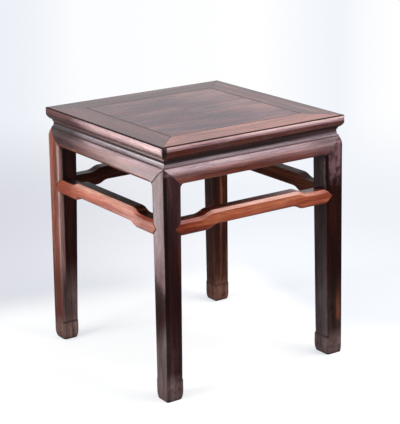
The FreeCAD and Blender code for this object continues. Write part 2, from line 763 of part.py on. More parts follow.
def stretcher(name, turn):
    """A humpback stretcher: flat on top, beveled outside, pointed over the legs."""
    body = new_body(name, turn)
    rise = cell("hump_rise")
    upper = (cell("hump_upper_outer"), cell("hump_upper_inner"))
    lower = (cell("hump_lower_outer"), cell("hump_lower_inner"))
    upper_radius = rise_radius(*upper)
    lower_radius = rise_radius(*lower)
    upper_middle = (upper[0] + upper[1]) / 2
    lower_middle = (lower[0] + lower[1]) / 2
    low = stretcher_bottom
    high = stretcher_top
    outline = [
        (-point_tip, low),
        (-lower[0], low),
        (-lower_middle, low + rise / 2, lower_radius, 1),
        (-lower[1], low + rise, lower_radius, -1),
        (lower[1], low + rise),
        (lower_middle, low + rise / 2, lower_radius, -1),
        (lower[0], low, lower_radius, 1),
        (point_tip, low),
        (point_tip, high),
        (upper[0], high),
        (upper_middle, high + rise / 2, upper_radius, -1),
        (upper[1], high + rise, upper_radius, 1),
        (-upper[1], high + rise),
        (-upper_middle, high + rise / 2, upper_radius, 1),
        (-upper[0], high, upper_radius, -1),
        (-point_tip, high),
    ]
    add_wood(body, add_sketch(body, "XZ_Plane", stretcher_inner, [outline]), cell("stretcher_thickness"))

    face = stretcher_face.number

    def upper_edge(point):
        return abs(-point.y - face) < TOUCH and point.z > high.number - TOUCH

    def lower_edge(point):
        return abs(-point.y - face) < TOUCH and point.z < low.number + rise.number + TOUCH

    soften(body, "Chamfer", cell("upper_bevel"), upper_edge)
    soften(body, "Chamfer", cell("lower_bevel"), lower_edge)

    # The pointed shoulders, beveled along their own edges.
    far = point_tip + spare
    arrow = [
        (leg_inner_at(high), high),
        (point_tip, stretcher_middle),
        (leg_inner_at(low), low),
        (leg_inner_at(low), low - spare),
        (far, low - spare),
        (far, high + spare),
        (leg_inner_at(high), high + spare),
    ]
    sketch = add_sketch(body, "XZ_Plane", stretcher_face + spare, both_ends(arrow))
    cut_wood(body, sketch, cell("stretcher_thickness") + spare * 2)

    def point_edge(point):
        return abs(-point.y - face) < TOUCH and abs(point.x) > (leg_inner + root / 2).number

    soften(body, "Chamfer", cell("point_bevel"), point_edge)

    # Behind the points the bar ends square against the legs.
    behind = [
        (leg_inner_at(low - spare), low - spare),
        (far, low - spare),
        (far, high + spare),
        (leg_inner_at(high + spare), high + spare),
    ]
    sketch = add_sketch(body, "XZ_Plane", point_back, both_ends(behind))
    cut_wood(body, sketch, cell("stretcher_thickness"))

    outer = half - cell("stretcher_tenon_setback")
    inner = outer - cell("stretcher_tenon_thickness")
    end = leg_inner_at(stretcher_middle) + cell("stretcher_tenon_length")
    tenon = [(leg_inner - root, inner), (end, inner), (end, outer), (leg_inner - root, outer)]
    tenon_low = stretcher_middle - cell("stretcher_tenon_height") / 2
    loops = [plan(points) for points in both_ends(tenon)]
    add_wood(body, add_sketch(body, "XY_Plane", tenon_low, loops), cell("stretcher_tenon_height"))
    return body


def mirrored_leg(name, source, across):
    """The same leg mirrored across a middle plane, for a corner of the other hand."""
    image = doc.addObject("Part::Mirroring", name)
    image.Label = name
    image.Source = source
    image.Base = FreeCAD.Vector(0, 0, 0)
    image.Normal = across
    doc.recompute()
    return image


FACES = (("front", 0), ("right", 90), ("back", 180), ("left", 270))

pieces = []
for word, angle in FACES:
    pieces.append(frame_rail(f"frame_rail_{word}", angle, tenoned=word in ("front", "back")))
pieces.append(panel_board())
pieces.append(panel_batten("panel_batten_left", -1))
pieces.append(panel_batten("panel_batten_right", 1))
for word, angle in FACES:
    pieces.append(waist_strip(f"waist_{word}", angle))
    pieces.append(apron(f"apron_{word}", angle))
    pieces.append(stretcher(f"stretcher_{word}", angle))
usual = [cell(word) for word in ("ankle_width", "hoof_step", "toe_outer_round")]
slim = [cell(word) for word in ("slim_ankle_width", "slim_hoof_step", "slim_toe_outer_round")]
front_right = leg("leg_front_right", 0, *usual)
pieces.append(front_right)
pieces.append(mirrored_leg("leg_front_left", front_right, FreeCAD.Vector(1, 0, 0)))
pieces.append(mirrored_leg("leg_back_right", front_right, FreeCAD.Vector(0, 1, 0)))
pieces.append(leg("leg_back_left", 180, *slim))
doc.recompute()

for thing in doc.Objects:
    if "Invalid" in thing.State or "Error" in thing.State:
        raise RuntimeError(f"{thing.Name} failed: {thing.State}")
for piece in pieces:
    if piece.Shape.isNull() or not piece.Shape.isValid() or len(piece.Shape.Solids) != 1:
        raise RuntimeError(f"{piece.Label} is not one sound solid")
for piece in pieces:
    piece.Shape.exportStep(f"parts/{piece.Label}.step")
print(f"{len(pieces)} pieces written")
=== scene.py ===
import math
from dataclasses import dataclass, replace

import bpy
from mathutils import Matrix, Vector


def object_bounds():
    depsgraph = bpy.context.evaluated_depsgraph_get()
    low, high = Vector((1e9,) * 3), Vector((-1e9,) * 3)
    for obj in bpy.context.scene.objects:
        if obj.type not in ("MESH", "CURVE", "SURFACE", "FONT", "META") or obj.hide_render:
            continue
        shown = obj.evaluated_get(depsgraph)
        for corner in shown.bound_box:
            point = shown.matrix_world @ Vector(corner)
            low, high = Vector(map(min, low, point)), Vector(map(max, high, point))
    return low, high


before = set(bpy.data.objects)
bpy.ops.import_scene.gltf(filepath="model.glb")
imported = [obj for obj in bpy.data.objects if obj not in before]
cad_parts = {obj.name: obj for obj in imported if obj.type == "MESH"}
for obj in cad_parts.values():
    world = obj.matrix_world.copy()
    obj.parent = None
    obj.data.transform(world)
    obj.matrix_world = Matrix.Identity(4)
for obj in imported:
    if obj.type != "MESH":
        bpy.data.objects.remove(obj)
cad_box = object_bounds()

# The looks of a square waisted table in polished dark hardwood. Every piece is
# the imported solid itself; this script gives each one its own wood, worked out
# from where a point lies on the table, and adds the floor, lights and camera.
# Lengths are in metres and the front of the table is towards -Y.

# ---------------------------------------------------------------- measures
TOP = cad_box[1].z
SIDE = cad_box[1].x
BAND_LOW = TOP - 0.0345  # lower end of the waist's upright band
APRON_TOP = TOP - 0.0440  # the groove between the shoulder and the aprons
APRON_LOW = TOP - 0.0780  # underside of the aprons between the legs
LEG_INSIDE = 0.1748  # middle planes to the legs' inner faces
MITRE_RUN = 0.0382  # the mitres' width between an apron and a leg
MITRE_SLOPE = (APRON_TOP - APRON_LOW) / MITRE_RUN
BOW_RUN = 0.038  # the width over which the opened mitre is bowed
PANEL_SIDE = 0.157  # middle of the top to the rails' inner edges
RAIL_DEPTH = 0.0290  # thickness of the top's rails
SIDES = {"front": "X", "right": "Y", "back": "X", "left": "Y"}  # and the axis their grain follows

# ---------------------------------------------------------------- camera
CAMERA_PLACE = Vector((-1.60213, -2.33617, 1.15408))
CAMERA_AZIMUTH = math.radians(-34.698)
CAMERA_ELEVATION = math.radians(16.891)
CAMERA_ROLL = math.radians(-0.842)
CAMERA_FILM = 36  # millimetres, as the lens is
CAMERA_LENS = 120.78


def aim(azimuth, elevation, roll):
    """Axes of a camera that looks at the table from an azimuth and elevation."""
    level = math.cos(elevation)
    back = Vector((math.sin(azimuth) * level, -math.cos(azimuth) * level, math.sin(elevation)))
    right = Vector((0, 0, 1)).cross(back).normalized()
    up = back.cross(right)
    tilted = right * math.cos(roll) + up * math.sin(roll)
    upward = up * math.cos(roll) - right * math.sin(roll)
    return Matrix((tilted, upward, back)).transposed().to_4x4()


def make_camera():
    data = bpy.data.cameras.new("camera")
    data.sensor_width = CAMERA_FILM
    data.lens = CAMERA_LENS
    camera = bpy.data.objects.new("camera", data)
    bpy.context.scene.collection.objects.link(camera)
    turned = aim(CAMERA_AZIMUTH, CAMERA_ELEVATION, CAMERA_ROLL)
    camera.matrix_world = Matrix.Translation(CAMERA_PLACE) @ turned
    bpy.context.scene.camera = camera


# ---------------------------------------------------------------- shader tools
def tone(red, green, blue):
    """A colour given as it shows on a screen, 0 to 255, in Blender's linear values."""
    values = []
    for value in (red, green, blue):
        share = value / 255
        values.append(share / 12.92 if share < 0.04045 else ((share + 0.055) / 1.055) ** 2.4)
    return (*values, 1.0)


class Shader:
    """A material's or world's node tree, built by calls that return sockets."""

    def __init__(self, owner):
        owner.use_nodes = True
        self.tree = owner.node_tree
        self.tree.nodes.clear()

    def add(self, kind, values=None, **settings):
        node = self.tree.nodes.new("ShaderNode" + kind)
        for key, value in settings.items():
            setattr(node, key, value)
        for key, value in (values or {}).items():
            self.put(node.inputs[key], value)
        return node

    def put(self, socket, value):
        if isinstance(value, bpy.types.NodeSocket):
            self.tree.links.new(value, socket)
        else:
            socket.default_value = value

    def math(self, operation, first, second=0.0, third=0.0):
        node = self.add("Math", {0: first, 1: second, 2: third}, operation=operation)
        return node.outputs[0]

    def vector(self, operation, first, second=(0, 0, 0), third=(0, 0, 0)):
        values = {0: first, 1: second}
        if operation == "MULTIPLY_ADD":
            values[2] = third
        return self.add("VectorMath", values, operation=operation).outputs[0]

    def blend(self, share, first, second, way="MIX"):
        values = {0: share, 6: first, 7: second}
        return self.add("Mix", values, data_type="RGBA", blend_type=way).outputs[2]

    def ramp(self, share, stops):
        node = self.add("ValToRGB", {0: share})
        points = node.color_ramp.elements
        while len(points) < len(stops):
            points.new(0.5)
        for point, (place, colour) in zip(points, stops):
            point.position = place
            point.color = colour
        return node.outputs[0]

    def spread(self, value, low, high, to_low=0.0, to_high=1.0):
        """Maps a value smoothly from one range to another."""
        values = {0: value, 1: low, 2: high, 3: to_low, 4: to_high}
        return self.add("MapRange", values, interpolation_type="SMOOTHSTEP").outputs[0]

    def noise(self, place, scale, detail=2.0, rough=0.5):
        values = {"Vector": place, "Scale": scale, "Detail": detail, "Roughness": rough}
        return self.add("TexNoise", values)

    def line(self, value, at, half, soft):
        """1 where the value lies near a mark, fading to 0 on both sides."""
        away = self.math("ABSOLUTE", self.math("SUBTRACT", value, at))
        return self.spread(away, half, half + soft, 1.0, 0.0)

    def most(self, *masks):
        whole = masks[0]
        for mask in masks[1:]:
            whole = self.math("MAXIMUM", whole, mask)
        return whole

    def both(self, *masks):
        whole = masks[0]
        for mask in masks[1:]:
            whole = self.math("MULTIPLY", whole, mask)
        return whole


class Place:
    """Where a point lies on the table, as sockets."""

    def __init__(self, shader):
        lookup = shader.add("TexCoord").outputs
        self.point = lookup["Object"]
        self.x, self.y, self.z = shader.add("SeparateXYZ", {0: self.point}).outputs
        self.east, self.north, self.rise = shader.add("SeparateXYZ", {0: lookup["Normal"]}).outputs
        self.wide = shader.math("ABSOLUTE", self.x)
        self.deep = shader.math("ABSOLUTE", self.y)
        self.out = shader.math("MAXIMUM", self.wide, self.deep)
        self.run = shader.math("MINIMUM", self.wide, self.deep)
        self.skew = shader.math("SUBTRACT", self.wide, self.deep)


# ---------------------------------------------------------------- wood
@dataclass
class Finish:
    """How a piece was polished, and what years of wax have done to it."""

    haze: float = 0.2  # share of the old wax's bloom
    haze_tone: tuple = (120, 104, 106)
    rough: float = 0.24
    varnish: float = 0.12  # weight of the clear coat
    index: float = 1.42  # refraction, and so the strength of reflections
    shine: tuple = (0.64, 0.44, 0.47)  # tint of the reflections that come back head-on
    drawn: float = 0.08  # how much of the broad figure's change shows along the grain


# The tone of the painted shade in corners and recesses, and of the dark joints.
SHADE_AND_JOINT_TONE = (13, 7, 7)
PORE_TONE = (14, 7, 7)
WORN_AND_LIT_TONE = (176, 120, 98)
ARRIS_REACH = 0.0012  # how far from an edge the wood is worn and takes a painted highlight
JOINT_REACH = 0.010  # how far from a corner the painted shade reaches
FIBRE_RELIEF = 0.00006
PORE_RELIEF = 0.00010
WAVE_RELIEF = 0.0006


def grain_space(shader, place, along, seed):
    """Coordinates whose first axis runs along the piece's grain."""
    order = {
        "X": (place.x, place.y, place.z),
        "Y": (place.y, place.x, place.z),
        "Z": (place.z, place.x, place.y),
    }
    first, second, third = order[along]
    lined = shader.add("CombineXYZ", {0: first, 1: second, 2: third}).outputs[0]
    moved = shader.vector("ADD", lined, (seed * 1.37, seed * 0.71, seed * 0.43))
    drift = shader.vector("SUBTRACT", shader.noise(moved, 6.0, 2.0).outputs["Color"], (0.5, 0.5, 0.5))
    return shader.vector("MULTIPLY_ADD", drift, (0.0, 0.024, 0.024), moved)


def stretched(shader, grain, share):
    """The grain's coordinates, drawn out along it: the smaller the share, the longer."""
    return shader.vector("MULTIPLY", grain, (share, 1.0, 1.0))


def figure_tone(shader, place, grain, tones, zones, drawn):
    """The wood's broad and narrow figure, in its own tones and in those of its zones."""
    broad = shader.noise(stretched(shader, grain, drawn), 42.0, 3.0, 0.55).outputs[0]
    narrow = shader.noise(stretched(shader, grain, 0.035), 190.0, 4.0, 0.6).outputs[0]
    figure = shader.math("MULTIPLY_ADD", broad, 0.6, shader.math("MULTIPLY", narrow, 0.4))

    def figured(dark, middle, light):
        return shader.ramp(figure, [(0.36, tone(*dark)), (0.50, tone(*middle)), (0.64, tone(*light))])

    colour = figured(*tones)
    for mask, zone_tones in zones:
        colour = shader.blend(mask(shader, place), colour, figured(*zone_tones))
    return colour


def with_fibres(shader, colour, fibres, pores):
    shade = shader.spread(fibres, 0.30, 0.70, 0.76, 1.18)
    shades = shader.add("CombineXYZ", {0: shade, 1: shade, 2: shade}).outputs[0]
    colour = shader.blend(1.0, colour, shades, "MULTIPLY")
    return shader.blend(shader.math("MULTIPLY", pores, 0.55), colour, tone(*PORE_TONE))


def with_bloom(shader, colour, patches, finish):
    """The bloom of old wax, in soft patches drawn out along the grain."""
    bloom = shader.math("MULTIPLY", shader.spread(patches, 0.34, 0.68), finish.haze)
    return shader.blend(bloom, colour, tone(*finish.haze_tone))


# Paler arrises: partly wear, partly a painted highlight along the edges.
def with_worn_and_lit_arrises(shader, colour, patches, softened):
    normal = shader.add("NewGeometry").outputs["True Normal"]
    bend = shader.add("VectorMath", {0: normal, 1: softened}, operation="DOT_PRODUCT").outputs["Value"]
    arris = shader.spread(bend, 0.998, 0.90)
    worn_and_lit = shader.both(arris, shader.spread(patches, 0.30, 0.60, 0.15, 0.6))
    lighter = shader.blend(0.5, colour, tone(*WORN_AND_LIT_TONE))
    return shader.blend(worn_and_lit, colour, lighter)


def shade_and_joint_mask(shader, place, lines):
    """Painted shade in the corners and recesses, and along the lines, which are dark joints and painted
    shade.
    """
    shut = shader.add("AmbientOcclusion", {"Distance": JOINT_REACH}, samples=6).outputs["AO"]
    shade_and_joints = shader.spread(shut, 0.30, 0.80, 0.85, 0.0)
    for line in lines:
        shade_and_joints = shader.math("MAXIMUM", shade_and_joints, line(shader, place))
    return shade_and_joints


def bumped(shader, grain, fibres, pores, softened):
    """The surface's relief: fine grain, and the slow waves that a plane leaves."""
    ripple = shader.noise(stretched(shader, grain, 0.30), 38.0, 1.0).outputs[0]
    relief = shader.math("MULTIPLY_ADD", fibres, FIBRE_RELIEF, shader.math("MULTIPLY", pores, -PORE_RELIEF))
    relief = shader.math("MULTIPLY_ADD", ripple, WAVE_RELIEF, relief)
    values = {"Strength": 0.8, "Distance": 1.0, "Height": relief, "Normal": softened}
    return shader.add("Bump", values).outputs[0]


def polished(shader, colour, normal, patches, shade_and_joints, finish):
    """The polish, duller in the bloom and dullest, without its clear coat, in the painted shade and the
    dark joints.
    """
    dull = shader.spread(patches, 0.30, 0.72, finish.rough - 0.05, finish.rough + 0.08)
    values = {
        "Base Color": colour,
        "Roughness": shader.math("MULTIPLY_ADD", shade_and_joints, 0.5, dull),
        "Normal": normal,
        "IOR": finish.index,
        "Specular Tint": (*finish.shine, 1),
        "Coat Weight": shader.spread(shade_and_joints, 0.0, 0.8, finish.varnish, 0.0),
        "Coat Roughness": 0.16,
    }
    return shader.add("BsdfPrincipled", values).outputs[0]


def wood(name, along, seed, tones, zones=(), lines=(), finish=Finish()):
    """Polished hardwood: figure, fibres, pores, a waxy bloom, worn arrises with a painted highlight, and
    painted shade in corners with dark lines.

    Tones are the dark, middle and light of the figure. A zone is a mask with tones
    of its own, and a line is a mask for something nearly black.
    """
    material = bpy.data.materials.new(name)
    shader = Shader(material)
    place = Place(shader)
    grain = grain_space(shader, place, along, seed)
    fibres = shader.noise(stretched(shader, grain, 0.02), 800.0, 2.0, 0.6).outputs[0]
    specks = shader.noise(stretched(shader, grain, 0.09), 1500.0, 1.0).outputs[0]
    pores = shader.spread(specks, 0.66, 0.74)
    patches = shader.noise(stretched(shader, grain, 0.35), 16.0, 4.0, 0.6).outputs[0]
    softened = shader.add("Bevel", {"Radius": ARRIS_REACH}, samples=4).outputs[0]

    colour = figure_tone(shader, place, grain, tones, zones, finish.drawn)
    colour = with_fibres(shader, colour, fibres, pores)
    colour = with_bloom(shader, colour, patches, finish)
    colour = with_worn_and_lit_arrises(shader, colour, patches, softened)
    # Painted shade in corners and recesses, with the dark joints and lines.
    shade_and_joints = shade_and_joint_mask(shader, place, lines)
    colour = shader.blend(shade_and_joints, colour, tone(*SHADE_AND_JOINT_TONE))

    normal = bumped(shader, grain, fibres, pores, softened)
    surface = polished(shader, colour, normal, patches, shade_and_joints, finish)
    output = shader.add("OutputMaterial", {0: surface})
    output.is_active_output = True
    return material


def dress(node, material):
    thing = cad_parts[node]
    for slot in thing.material_slots:
        slot.material = material


# ---------------------------------------------------------------- marks
# A mark is a mask over a piece, from 0 to 1. Its numbers are places on the table.
def facing_left(shader, place):
    return shader.spread(place.east, -0.55, -0.85)


def facing_front(shader, place):
    return shader.spread(place.north, -0.55, -0.85)


def flat_top(shader, place):
    return shader.spread(place.rise, 0.75, 0.95)


def band(shader, value, low, high):
    """1 between two ends. Each end is a pair: where the mask is 0, and where it is 1."""
    return shader.both(shader.spread(value, *low), shader.spread(value, *high))


# Marks of the top.
def upper(shader, place):
    """The flat top."""
    return shader.spread(place.z, TOP - 0.0016, TOP - 0.0006)


def arris_line(shader, place):
    """A painted dark reflection: the dark line that runs round the edge of the top."""
    high = shader.spread(place.z, TOP - 0.0022, TOP - 0.0017)
    return shader.both(shader.spread(place.out, SIDE - 0.0042, SIDE - 0.0035), high, 0.95)


def top_joints(shader, place):
    """The frame's four mitres, and the seam round its board."""
    flat = shader.spread(place.z, TOP - RAIL_DEPTH, TOP - RAIL_DEPTH + 0.0010)
    outside = shader.spread(place.out, PANEL_SIDE, PANEL_SIDE + 0.0003)
    mitre = shader.both(shader.line(place.skew, 0.0, 0.0003, 0.0007), outside, flat, 0.55)
    seam = shader.line(place.out, PANEL_SIDE - 0.0002, 0.0006, 0.0009)
    return shader.most(mitre, shader.both(seam, upper(shader, place), 0.75))


def lip_shade(shader, place):
    """The lower end of the top's moulding, dark in its own shade."""
    start = shader.spread(place.x, -0.10, 0.16, TOP - 0.0242, TOP - 0.0195)
    below = shader.spread(shader.math("SUBTRACT", place.z, start), 0.0002, -0.0018, 0.0, 0.80)
    return shader.both(below, shader.spread(place.x, -0.2050, -0.2000))


def under_arris(shader, place, depth, fade):
    """From the edge of the top down to a depth under it, over which the mask fades."""
    return band(shader, place.z, (TOP - depth, TOP - depth + fade), (TOP - 0.0016, TOP - 0.0026))


def bead(shader, place):
    """A painted highlight on the upright band round the edge of the top."""
    return under_arris(shader, place, 0.0115, 0.0020)


def bead_crest(shader, place):
    """The band's upper half, with the palest painted highlight."""
    return under_arris(shader, place, 0.0074, 0.0014)


def left_crest(shader, place):
    """The painted highlight is taller along the left side, and dies away at its far end."""
    return shader.both(under_arris(shader, place, 0.0190, 0.0030), shader.spread(place.y, 0.10, 0.0))


def corner_strip(shader, place):
    """A painted dark reflection beside the near corner, on the front faces."""
    return shader.both(facing_front(shader, place), shader.spread(place.x, -0.2070, -0.2105))


def far_left(shader, place):
    """The far end of the left side, painted redder and darker as painted shade where the painted highlights
    stop.
    """
    return shader.both(shader.spread(place.y, 0.060, 0.130), shader.spread(place.x, -0.19, -0.20))


def panel_right(shader, place):
    return shader.spread(place.x, 0.0, 0.15)


# Marks of the waist.
def groove(shader, place):
    """The line under the shoulder, with painted shade in it, wider and darker on the left side."""
    fine = shader.both(shader.line(place.z, APRON_TOP, 0.0004, 0.0010), 0.20)
    deep = shader.line(place.z, APRON_TOP + 0.0011, 0.0018, 0.0008)
    leftward = shader.both(facing_left(shader, place), shader.spread(place.y, -0.215, -0.185, 0.35, 1.0))
    return shader.most(fine, shader.both(deep, leftward, 0.9))


def waist_band(shader, place):
    """The waist's upright band, black in the shade of the top."""
    rightward = shader.spread(place.x, 0.02, 0.20, 0.92, 0.50)
    end = shader.math("MULTIPLY_ADD", facing_left(shader, place), -0.0022, place.z)
    return shader.both(shader.spread(end, BAND_LOW - 0.0036, BAND_LOW - 0.0014), rightward)


def hollow(shader, place):
    """The hollow of the shoulder, with a painted highlight."""
    return shader.spread(place.z, BAND_LOW + 0.0006, BAND_LOW - 0.0006)


def near_hollow(shader, place):
    """The painted highlight in the hollow is paler towards the near corner."""
    return shader.both(hollow(shader, place), shader.spread(place.x, 0.05, -0.12))


# Marks of the aprons and of the mitres that they share with the legs.
def above_mitre(shader, place, bow):
    """Height above the mitre between an apron and a leg, bowed upwards in its middle."""
    along = shader.math("SUBTRACT", place.run, LEG_INSIDE)
    straight = shader.math("MULTIPLY_ADD", along, MITRE_SLOPE, APRON_LOW)
    share = shader.math("MULTIPLY_ADD", along, 2 / BOW_RUN, -1.0)
    arch = shader.math("SUBTRACT", bow, shader.both(share, share, bow))
    return shader.math("SUBTRACT", place.z, shader.math("ADD", straight, arch))


def closed_mitre(shader, place):
    high = shader.spread(place.z, APRON_LOW - 0.0015, APRON_LOW)
    return shader.both(shader.line(above_mitre(shader, place, 0.0), 0.0, 0.0003, 0.0008), high, 0.5)


def open_mitre(shader, place):
    """The near corner's mitre, which has opened on the left side."""
    near = shader.spread(place.y, 0.0, -0.1)
    high = shader.spread(place.z, APRON_LOW - 0.0020, APRON_LOW)
    line = shader.line(above_mitre(shader, place, 0.0012), 0.0, 0.0008, 0.0007)
    return shader.both(line, near, high, shader.spread(place.x, -0.2080, -0.2110))


def apron_brow(shader, place):
    """A painted highlight along the crest of an apron's bulge, palest towards the left."""
    low = (APRON_TOP - 0.0130, APRON_TOP - 0.0075)
    high = (APRON_TOP - 0.0004, APRON_TOP - 0.0016)
    return shader.both(band(shader, place.z, low, high), shader.spread(place.x, 0.20, -0.14, 0.60, 0.90))


def left_brow(shader, place):
    """The painted highlight on the left apron's crest is narrower and ends before its far end."""
    low = (APRON_TOP - 0.0085, APRON_TOP - 0.0045)
    high = (APRON_TOP - 0.0002, APRON_TOP - 0.0012)
    return shader.both(band(shader, place.z, low, high), shader.spread(place.y, 0.12, 0.04, 0.0, 0.7))


# A fainter painted highlight below the crest, strongest towards the left.
def apron_belly(shader, place):
    leftward = shader.spread(place.x, -0.20, 0.02, 0.35, 1.0)
    return shader.both(shader.spread(place.z, APRON_TOP - 0.0085, APRON_TOP - 0.0130), leftward)


def apron_end(shader, place):
    """The right end of the front apron, painted darker as painted shade where the highlight ends."""
    return shader.both(shader.spread(place.x, 0.10, 0.17, 0.0, 0.75), shader.spread(place.y, 0.0, -0.1))


def apron_foot(shader, place):
    """The redder lower part of an apron."""
    return shader.spread(place.z, APRON_LOW + 0.0145, APRON_LOW + 0.0105)


def low_edge(shader, place):
    """Warm, worn patches along the left apron's lower edge."""
    patchy = shader.spread(shader.noise(place.point, 38.0, 3.0).outputs[0], 0.40, 0.62, 0.35, 1.0)
    return shader.both(shader.spread(place.z, APRON_LOW + 0.0130, APRON_LOW + 0.0050), patchy)


# Marks of the stretchers.
def stretcher_ends(shader, place):
    """A stretcher is darker towards its ends."""
    return shader.spread(place.run, 0.085, 0.150)


# A painted highlight on a stretcher's upper bevel.
def upper_bevel(shader, place):
    return shader.both(band(shader, place.rise, (0.35, 0.50), (0.90, 0.80)), 0.65)


def shaded_flat_top(shader, place):
    """Painted shade on a stretcher's flat top, under the table."""
    return shader.both(flat_top(shader, place), 0.35)


# Marks of the legs.
def dust(shader, place):
    """Scuffs and dust that thicken towards the feet."""
    uneven = shader.noise(place.point, 55.0, 4.0, 0.65).outputs[0]
    low = shader.spread(place.z, 0.062, 0.028, 0.0, 0.66)
    higher = shader.spread(place.z, 0.20, 0.06, 0.0, 0.15)
    return shader.both(shader.math("ADD", low, higher), shader.spread(uneven, 0.30, 0.62, 0.45, 1.0))


def hoof_line(shader, place):
    """A dark line along the step above the hoof, on a leg's inner faces."""
    within = shader.spread(place.run, 0.1870, 0.1845)
    return shader.both(shader.line(place.z, 0.0408, 0.0016, 0.0010), within, 0.65)


def left_sheen(shader, place):
    """A painted reflection on the upper half of the near leg's left side."""
    slanted = shader.math("MULTIPLY_ADD", place.y, -0.72, place.z)
    fading = shader.spread(place.z, 0.28, 0.42, 1.0, 0.72)
    return shader.both(facing_left(shader, place), shader.spread(slanted, 0.365, 0.395), fading)


def left_low(shader, place):
    """The scuffed lower end of the near leg's left side."""
    slanted = shader.math("MULTIPLY_ADD", place.y, 0.9, place.z)
    return shader.both(facing_left(shader, place), shader.spread(slanted, -0.015, -0.085))


def front_sheen(shader, place):
    """A painted reflection on the upper part of the near leg's front."""
    return shader.both(facing_front(shader, place), shader.spread(place.z, 0.26, 0.40, 0.0, 0.8))


def shoulder_sheen(shader, place):
    """A pale painted reflection on the outside of the right leg's shoulder."""
    uneven = shader.noise(place.point, 70.0, 3.0, 0.6).outputs[0]
    edge = shader.math("MULTIPLY_ADD", uneven, 0.05, place.z)
    outer = shader.spread(place.x, 0.2170, 0.2080, 0.25, 1.0)
    across = shader.both(outer, shader.spread(place.x, 0.1795, 0.1835))
    mottled = shader.spread(uneven, 0.34, 0.62, 0.35, 1.0)
    return shader.both(facing_front(shader, place), across, mottled, shader.spread(edge, 0.385, 0.430))


def inner_gap(shader, place):
    """Painted shade along the right leg's inner corner, above the stretcher."""
    high = band(shader, place.z, (0.372, 0.380), (0.4330, 0.4290))
    side = shader.spread(place.x, 0.1815, 0.1795)
    return shader.both(side, shader.spread(place.y, -0.2125, -0.2145), high, 0.9)


def right_inside(shader, place):
    """The greyer lower half of the right leg's inner side."""
    return shader.both(facing_left(shader, place), shader.spread(place.z, 0.32, 0.15, 0.50, 1.0))


def rounding_glint(shader, place):
    """A painted reflection, in streaks, on the rounded edge of the right leg's inner side, under the apron.
    """
    across = shader.line(place.y, -0.2065, 0.0065, 0.0020)
    height = shader.line(place.z, 0.3900, 0.0250, 0.0060)
    streaks = shader.noise(shader.vector("MULTIPLY", place.point, (1, 1, 0.2)), 380.0, 3.0).outputs[0]
    inside = shader.spread(place.east, -0.5, -0.8)
    return shader.both(across, height, shader.spread(streaks, 0.40, 0.60, 0.3, 1.0), inside)


def wandering(shader, place, reach):
    """A place across a leg that wanders a little along it."""
    return shader.math("MULTIPLY_ADD", shader.noise(place.point, 9.0, 1.0).outputs[0], reach, place.x)


def red_stripe(shader, place):
    """Red heartwood down the right leg's outer corner."""
    stripe = shader.line(wandering(shader, place, 0.010), 0.2135, 0.0030, 0.0030)
    height = shader.both(shader.spread(place.z, 0.070, 0.082), shader.spread(place.z, 0.16, 0.08, 0.0, 0.6))
    return shader.both(stripe, facing_front(shader, place), height)


def left_lower(shader, place):
    """The lower third of the left leg's outer side, darker and redder."""
    return shader.both(facing_left(shader, place), shader.spread(place.z, 0.22, 0.12))


def corner_highlight(shader, place):
    """A painted highlight on the rounded, polished corner of the left leg."""
    ahead = shader.both(facing_front(shader, place), shader.spread(place.x, -0.2075, -0.2110))
    beside = shader.both(facing_left(shader, place), shader.spread(place.y, 0.1900, 0.1830))
    return shader.both(shader.most(ahead, beside), shader.spread(place.z, 0.08, 0.19, 0.15, 0.95))


def low_inside(shader, place):
    """The greyer lower half of the left leg's inner side."""
    return shader.both(facing_front(shader, place), shader.spread(place.z, 0.19, 0.10))


def pale_stripe(shader, place):
    """Lighter wood down the back leg."""
    stripe = shader.line(wandering(shader, place, 0.008), 0.1995, 0.0022, 0.0030)
    return shader.both(stripe, facing_front(shader, place), 0.8)


# ---------------------------------------------------------------- tones
# Each figure has a dark, a middle and a light tone.
# The top.
SIDE_TONES = ((50, 15, 8), (92, 38, 24), (128, 62, 42))
# Painted highlights on the band round the edge of the top, palest on its upper half.
BEAD_TONES = ((112, 76, 80), (158, 120, 126), (190, 152, 158))
CREST_TONES = ((184, 138, 136), (230, 188, 186), (248, 214, 212))
# The rails' flat tops; the front one is painted much paler, a painted reflection.
TOP_TONES = {
    "front": ((112, 60, 51), (160, 98, 85), (206, 142, 124)),
    "right": ((54, 22, 22), (84, 46, 50), (132, 78, 70)),
    "back": ((50, 26, 25), (74, 42, 40), (104, 66, 58)),
    "left": ((60, 25, 24), (86, 42, 41), (114, 62, 58)),
}
PANEL_TONES = ((56, 24, 25), (87, 48, 51), (132, 75, 67))
RIGHT_PANEL_TONES = ((92, 56, 56), (124, 84, 84), (156, 106, 98))
# Painted dark reflection beside the near corner, on the top's rails and the near leg.
BLACK_TONES = ((10, 4, 4), (15, 6, 6), (24, 11, 9))
# Painted shade at the far end of the left rail.
RED_TONES = ((48, 16, 12), (76, 31, 26), (102, 50, 42))
ORANGE_TONES = ((88, 32, 14), (126, 54, 28), (160, 84, 50))
# The waist.
WAIST_TONES = ((28, 12, 11), (42, 20, 18), (66, 37, 33))
# Painted highlights in the shoulder's hollow, palest along the left side.
HOLLOW_TONES = ((66, 50, 55), (98, 80, 87), (128, 110, 117))
LEFT_HOLLOW_TONES = ((130, 114, 119), (172, 156, 162), (200, 184, 190))
NEAR_HOLLOW_TONES = ((92, 76, 82), (128, 110, 118), (158, 140, 148))
# Painted shade in the hollow at the far end of the left side.
FAR_HOLLOW_TONES = ((20, 12, 14), (36, 24, 28), (56, 42, 47))
# The aprons.
APRON_TONES = ((58, 22, 19), (90, 42, 38), (124, 68, 60))
LEFT_APRON_TONES = ((72, 34, 30), (108, 60, 56), (144, 88, 80))
# Painted shade at the far end of the left apron.
FAR_APRON_TONES = ((34, 10, 8), (56, 19, 15), (80, 34, 28))
